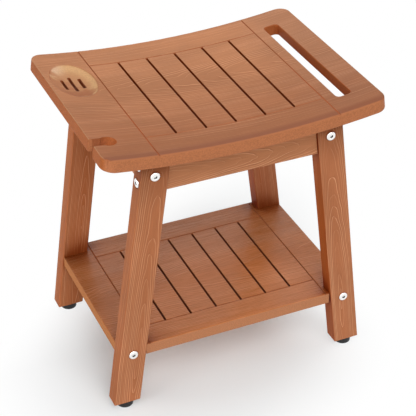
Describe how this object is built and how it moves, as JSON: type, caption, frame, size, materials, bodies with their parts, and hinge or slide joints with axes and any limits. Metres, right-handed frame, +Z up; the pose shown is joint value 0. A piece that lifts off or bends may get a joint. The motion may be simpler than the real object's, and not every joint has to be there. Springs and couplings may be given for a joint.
{
  "type": "shower bench",
  "caption": "Free-standing shower bench with a bowed, slotted seat, soap dish, hand shower notch, handle slot, splayed legs, slotted lower shelf and screw-in levelling feet.",
  "frame": {"origin": "on the floor, under the middle of the seat", "axes": "+X along the seat towards the handle slot, +Y towards the back, +Z up"},
  "size_m": [0.4564, 0.35, 0.4812],
  "materials": {
    "board": "embossed wood grain, orange brown",
    "steel": "bright nickel",
    "insert": "turned",
    "pad": "matt black"
  },
  "bodies": {
    "bench": {"seat_panel": "board", "shelf_panel": "board", "leg_front_left": "board", "leg_front_right": "board", "leg_back_left": "board", "leg_back_right": "board", "front_apron": "board", "back_apron": "board", "left_end_rail": "board", "right_end_rail": "board", "apron_bolts": "steel", "end_rail_bolts": "steel", "shelf_bolts": "steel", "apron_barrel_nuts": "steel", "end_rail_barrel_nuts": "steel", "shelf_barrel_nuts": "steel", "seat_screws": "steel", "foot_inserts": "insert"},
    "front_left_stud": {"foot_stud_front_left": "steel"},
    "front_left_pad": {"foot_pad_front_left": "pad"},
    "front_right_stud": {"foot_stud_front_right": "steel"},
    "front_right_pad": {"foot_pad_front_right": "pad"},
    "back_left_stud": {"foot_stud_back_left": "steel"},
    "back_left_pad": {"foot_pad_back_left": "pad"},
    "back_right_stud": {"foot_stud_back_right": "steel"},
    "back_right_pad": {"foot_pad_back_right": "pad"}
  },
  "joints": [
    {"name": "front_left_foot_height", "type": "slide", "parent": "bench", "child": "front_left_stud", "axis": [0, 0, -1], "range_m": [0, 0.008]},
    {"name": "front_left_foot_turn", "type": "hinge", "parent": "front_left_stud", "child": "front_left_pad", "pos_m": [-0.19831, -0.138, 0], "axis": [0, 0, -1], "range_deg": [0, 2304]},
    {"name": "front_right_foot_height", "type": "slide", "parent": "bench", "child": "front_right_stud", "axis": [0, 0, -1], "range_m": [0, 0.008]},
    {"name": "front_right_foot_turn", "type": "hinge", "parent": "front_right_stud", "child": "front_right_pad", "pos_m": [0.19831, -0.138, 0], "axis": [0, 0, -1], "range_deg": [0, 2304]},
    {"name": "back_left_foot_height", "type": "slide", "parent": "bench", "child": "back_left_stud", "axis": [0, 0, -1], "range_m": [0, 0.008]},
    {"name": "back_left_foot_turn", "type": "hinge", "parent": "back_left_stud", "child": "back_left_pad", "pos_m": [-0.19831, 0.138, 0], "axis": [0, 0, -1], "range_deg": [0, 2304]},
    {"name": "back_right_foot_height", "type": "slide", "parent": "bench", "child": "back_right_stud", "axis": [0, 0, -1], "range_m": [0, 0.008]},
    {"name": "back_right_foot_turn", "type": "hinge", "parent": "back_right_stud", "child": "back_right_pad", "pos_m": [0.19831, 0.138, 0], "axis": [0, 0, -1], "range_deg": [0, 2304]}
  ],
  "couplings": [
    {"joint": "front_left_foot_height", "follows": "front_left_foot_turn", "m_per_rad": 0.00019894},
    {"joint": "front_right_foot_height", "follows": "front_right_foot_turn", "m_per_rad": 0.00019894},
    {"joint": "back_left_foot_height", "follows": "back_left_foot_turn", "m_per_rad": 0.00019894},
    {"joint": "back_right_foot_height", "follows": "back_right_foot_turn", "m_per_rad": 0.00019894}
  ]
}
